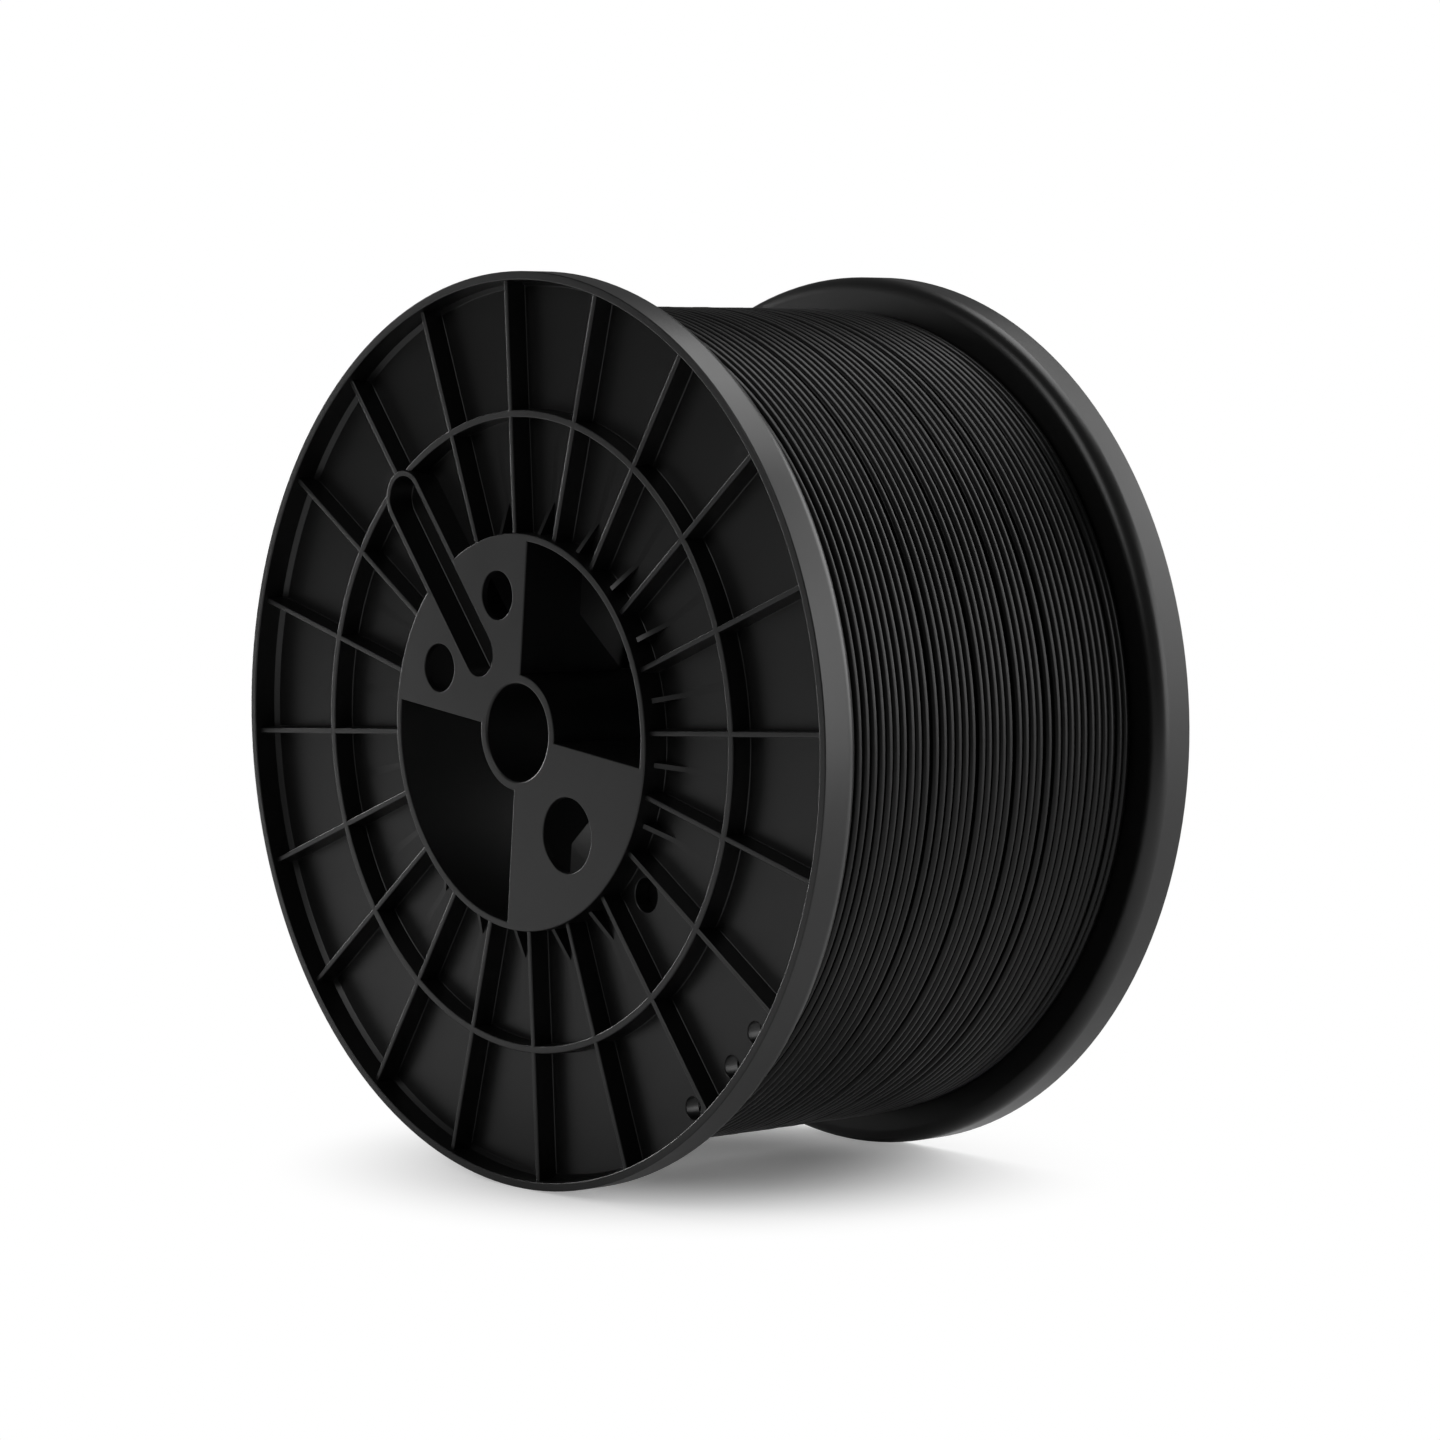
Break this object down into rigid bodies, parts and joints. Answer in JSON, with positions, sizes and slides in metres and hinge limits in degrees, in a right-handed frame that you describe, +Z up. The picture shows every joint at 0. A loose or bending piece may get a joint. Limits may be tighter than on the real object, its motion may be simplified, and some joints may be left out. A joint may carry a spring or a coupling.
{
  "type": "filament spool",
  "caption": "Large plastic spool with ribbed flanges, a bored hub and a drum full of wound 3D-printer filament.",
  "frame": {"origin": "on the spool's axis, midway between the outer faces of the two flanges", "axes": "Y along the spool's axis with the front flange facing -Y, +Z up, X across"},
  "size_m": [0.2996, 0.1596, 0.2996],
  "materials": {
    "flange_plastic": "satin black moulded plastic",
    "drum_plastic": "satin black extruded plastic",
    "filament_plastic": "semi-gloss black filament"
  },
  "bodies": {
    "root": {"front_flange": "flange_plastic", "back_flange": "flange_plastic", "drum": "drum_plastic", "filament": "filament_plastic"}
  },
  "joints": []
}
